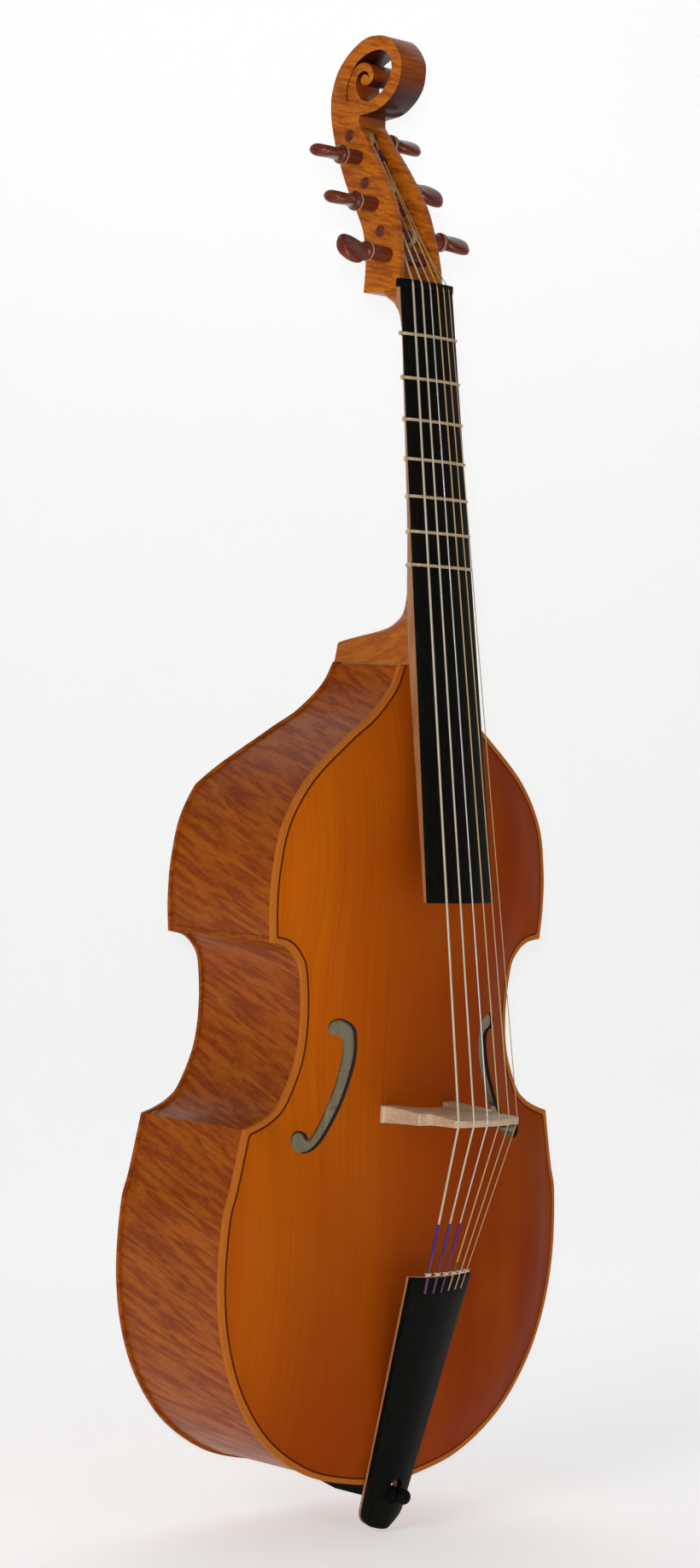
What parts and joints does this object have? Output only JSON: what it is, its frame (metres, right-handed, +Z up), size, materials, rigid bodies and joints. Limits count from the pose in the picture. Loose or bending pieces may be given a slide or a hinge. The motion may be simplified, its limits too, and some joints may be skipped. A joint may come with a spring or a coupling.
{
  "type": "bass viol",
  "caption": "Six-string fretted bass viol: arched spruce belly, flat canted back, open scroll, tuning pegs, tied gut frets, bridge and a tailpiece on a hook bar.",
  "frame": {"origin": "the flat ledge under the back of the pegbox, where the viol hangs from a hanger or stand", "axes": "+Z up along the strings towards the scroll, +Y out of the flat back, +X to the right seen from the front"},
  "size_m": [0.4098, 0.2346, 1.2632],
  "materials": {
    "spruce_varnish": "gloss orange-brown varnish over spruce",
    "maple_varnish": "gloss varnish over flamed maple",
    "head_varnish": "gloss golden varnish over flamed maple",
    "raw_maple": "bare satin maple",
    "raw_spruce": "bare spruce",
    "ebony": "satin black",
    "peg_wood": "polished red-brown fruitwood",
    "gut": "translucent twisted gut",
    "wound_wire": "fine metal overspinning"
  },
  "bodies": {
    "body_and_neck": {"back_brace_fold": "raw_spruce", "back_brace_lower": "raw_spruce", "back_plate": "maple_varnish", "bass_bar": "raw_spruce", "bridge": "raw_maple", "corner_block_lower_left": "raw_spruce", "corner_block_lower_right": "raw_spruce", "corner_block_upper_left": "raw_spruce", "corner_block_upper_right": "raw_spruce", "end_block": "raw_spruce", "fingerboard": "ebony", "fingerboard_core": "raw_maple", "hook_bar": "ebony", "hook_knob": "ebony", "neck": "maple_varnish", "nut": "ebony", "pegbox": "head_varnish", "rib_lower_left": "maple_varnish", "rib_lower_right": "maple_varnish", "rib_upper_left": "maple_varnish", "rib_upper_right": "maple_varnish", "rib_waist_left": "maple_varnish", "rib_waist_right": "maple_varnish", "soundpost": "raw_spruce", "soundpost_plate": "raw_maple", "string_1": "gut", "string_2": "gut", "string_3": "gut", "string_4": "wound_wire", "string_5": "wound_wire", "string_6": "wound_wire", "tailpiece": "ebony", "tailpiece_core": "raw_maple", "top_block": "raw_spruce", "top_plate": "spruce_varnish"},
    "tuning_peg_1": {"peg_1": "peg_wood", "string_winding_1": "wound_wire"},
    "tuning_peg_2": {"peg_2": "peg_wood", "string_winding_2": "gut"},
    "tuning_peg_3": {"peg_3": "peg_wood", "string_winding_3": "wound_wire"},
    "tuning_peg_4": {"peg_4": "peg_wood", "string_winding_4": "gut"},
    "tuning_peg_5": {"peg_5": "peg_wood", "string_winding_5": "wound_wire"},
    "tuning_peg_6": {"peg_6": "peg_wood", "string_winding_6": "gut"},
    "tied_fret_1": {"fret_1": "gut"},
    "tied_fret_2": {"fret_2": "gut"},
    "tied_fret_3": {"fret_3": "gut"},
    "tied_fret_4": {"fret_4": "gut"},
    "tied_fret_5": {"fret_5": "gut"},
    "tied_fret_6": {"fret_6": "gut"},
    "tied_fret_7": {"fret_7": "gut"}
  },
  "joints": [
    {"name": "peg_1_turn", "type": "hinge", "parent": "body_and_neck", "child": "tuning_peg_1", "pos_m": [0, -0.0165, 0.0313], "axis": [1, 0, 0], "continuous": true},
    {"name": "peg_2_turn", "type": "hinge", "parent": "body_and_neck", "child": "tuning_peg_2", "pos_m": [0, -0.0049, 0.0517], "axis": [1, 0, 0], "continuous": true},
    {"name": "peg_3_turn", "type": "hinge", "parent": "body_and_neck", "child": "tuning_peg_3", "pos_m": [0, 0.006, 0.0755], "axis": [1, 0, 0], "continuous": true},
    {"name": "peg_4_turn", "type": "hinge", "parent": "body_and_neck", "child": "tuning_peg_4", "pos_m": [0, 0.0188, 0.0942], "axis": [1, 0, 0], "continuous": true},
    {"name": "peg_5_turn", "type": "hinge", "parent": "body_and_neck", "child": "tuning_peg_5", "pos_m": [0, 0.0305, 0.117], "axis": [1, 0, 0], "continuous": true},
    {"name": "peg_6_turn", "type": "hinge", "parent": "body_and_neck", "child": "tuning_peg_6", "pos_m": [0, 0.0434, 0.1366], "axis": [1, 0, 0], "continuous": true},
    {"name": "fret_1_shift", "type": "slide", "parent": "body_and_neck", "child": "tied_fret_1", "axis": [0, 0.1437, 0.9896], "range_m": [-0.004, 0.004]},
    {"name": "fret_2_shift", "type": "slide", "parent": "body_and_neck", "child": "tied_fret_2", "axis": [0, 0.1437, 0.9896], "range_m": [-0.004, 0.004]},
    {"name": "fret_3_shift", "type": "slide", "parent": "body_and_neck", "child": "tied_fret_3", "axis": [0, 0.1437, 0.9896], "range_m": [-0.004, 0.004]},
    {"name": "fret_4_shift", "type": "slide", "parent": "body_and_neck", "child": "tied_fret_4", "axis": [0, 0.1437, 0.9896], "range_m": [-0.004, 0.004]},
    {"name": "fret_5_shift", "type": "slide", "parent": "body_and_neck", "child": "tied_fret_5", "axis": [0, 0.1437, 0.9896], "range_m": [-0.004, 0.004]},
    {"name": "fret_6_shift", "type": "slide", "parent": "body_and_neck", "child": "tied_fret_6", "axis": [0, 0.1437, 0.9896], "range_m": [-0.004, 0.004]},
    {"name": "fret_7_shift", "type": "slide", "parent": "body_and_neck", "child": "tied_fret_7", "axis": [0, 0.1437, 0.9896], "range_m": [-0.004, 0.004]}
  ]
}
